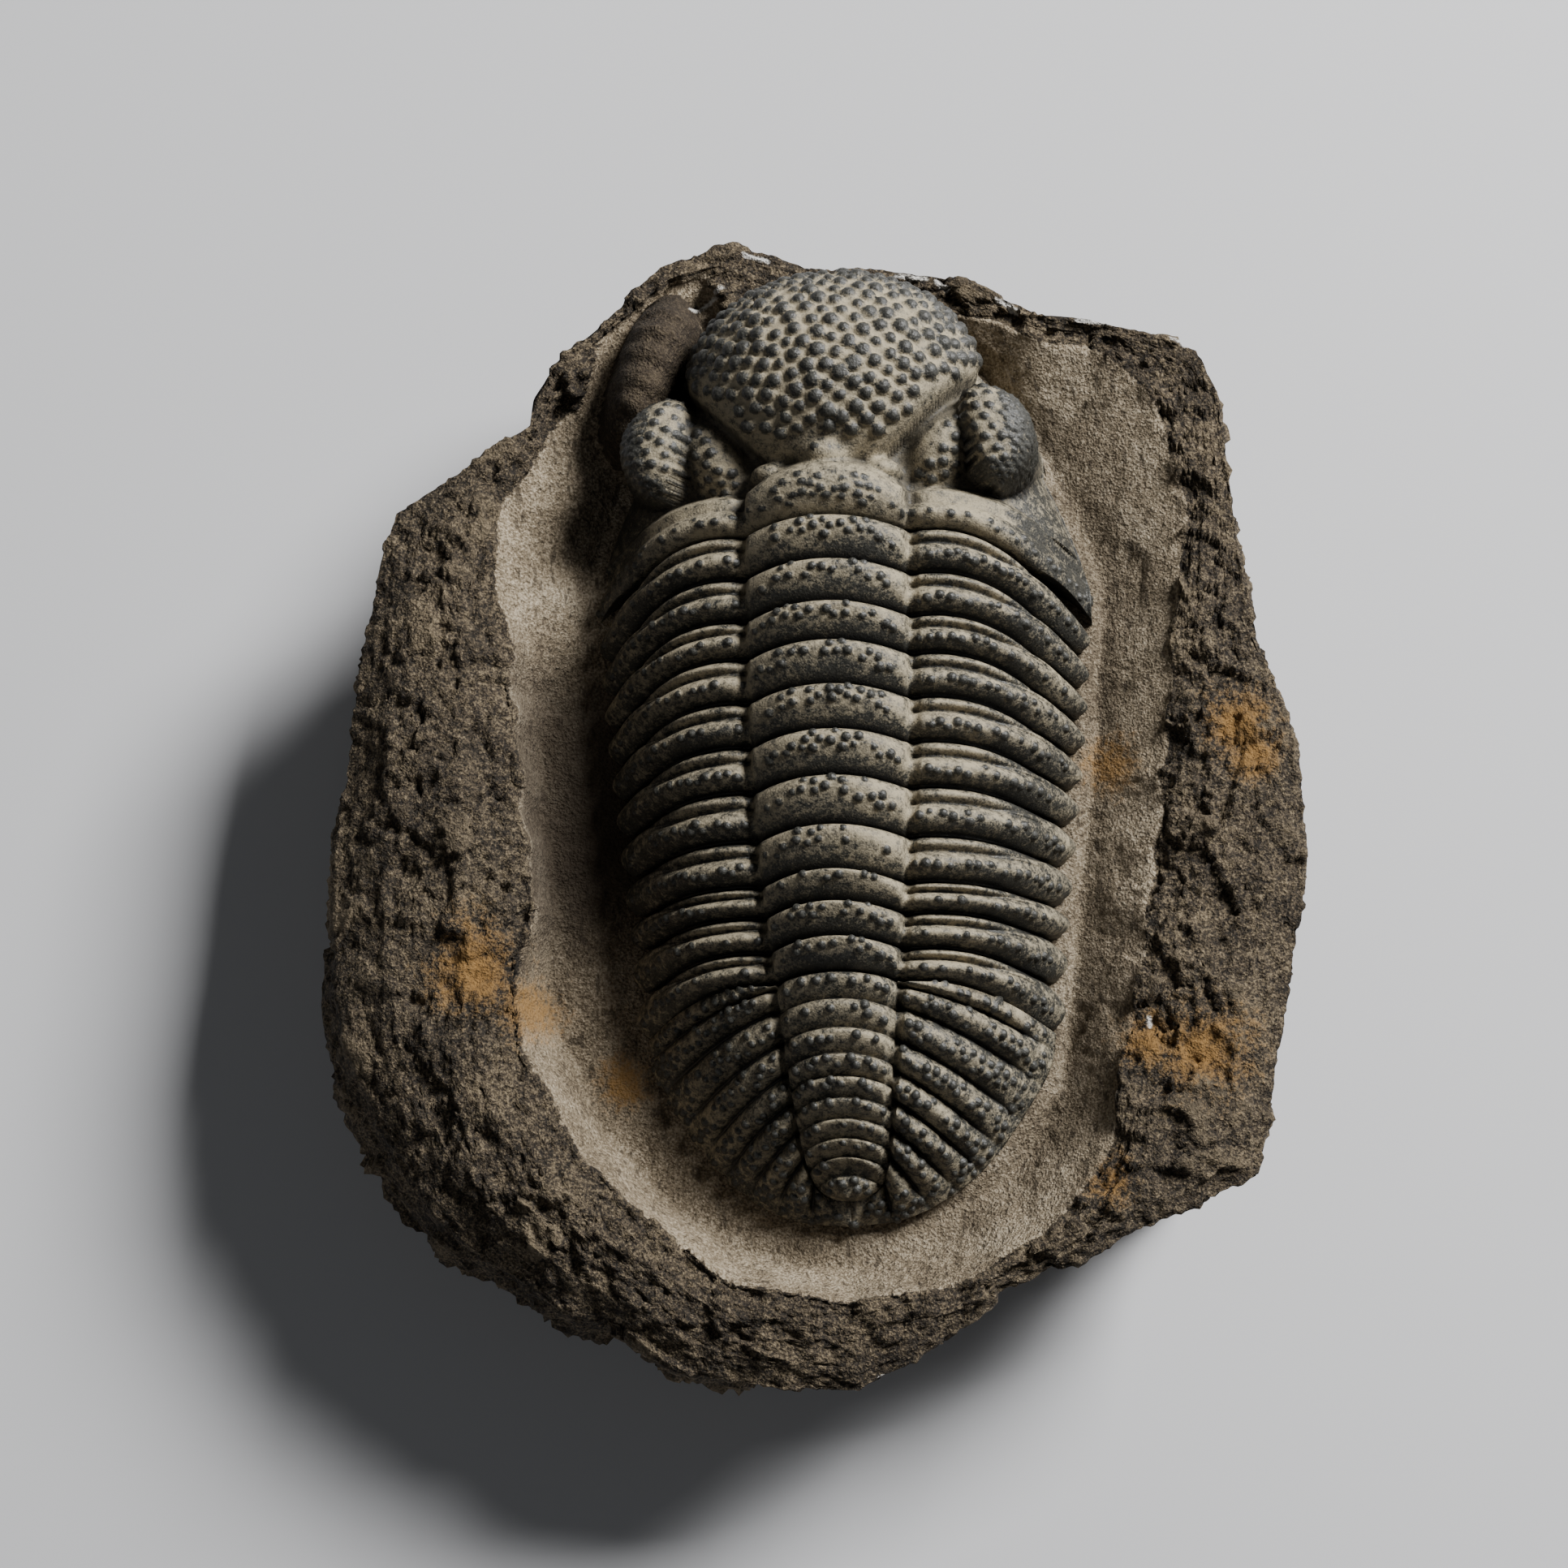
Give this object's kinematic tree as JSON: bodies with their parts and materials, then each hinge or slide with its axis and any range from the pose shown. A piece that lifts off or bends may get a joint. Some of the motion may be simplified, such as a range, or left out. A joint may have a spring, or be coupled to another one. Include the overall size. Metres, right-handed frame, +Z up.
{
  "type": "trilobite fossil in matrix",
  "caption": "Fossil trilobite lying in a carved block of limestone, with a knobbed head, banded body and ribbed tail shield.",
  "frame": {"origin": "middle of the block's footprint, on its flat back", "axes": "+Z up, out of the animal's back; +Y towards its head; +X to its right"},
  "size_m": [0.1345, 0.1604, 0.0541],
  "materials": {
    "limestone": "rough broken brown limestone, tooled sandy and pale in the moat",
    "fossil_shell": "dark calcite shell with a dull sheen and pale rock dust left in the grooves"
  },
  "bodies": {
    "root": {"limestone_block": "limestone", "cephalon": "fossil_shell", "thorax_segment_01": "fossil_shell", "thorax_segment_02": "fossil_shell", "thorax_segment_03": "fossil_shell", "thorax_segment_04": "fossil_shell", "thorax_segment_05": "fossil_shell", "thorax_segment_06": "fossil_shell", "thorax_segment_07": "fossil_shell", "thorax_segment_08": "fossil_shell", "thorax_segment_09": "fossil_shell", "thorax_segment_10": "fossil_shell", "thorax_segment_11": "fossil_shell", "pygidium": "fossil_shell"}
  },
  "joints": []
}
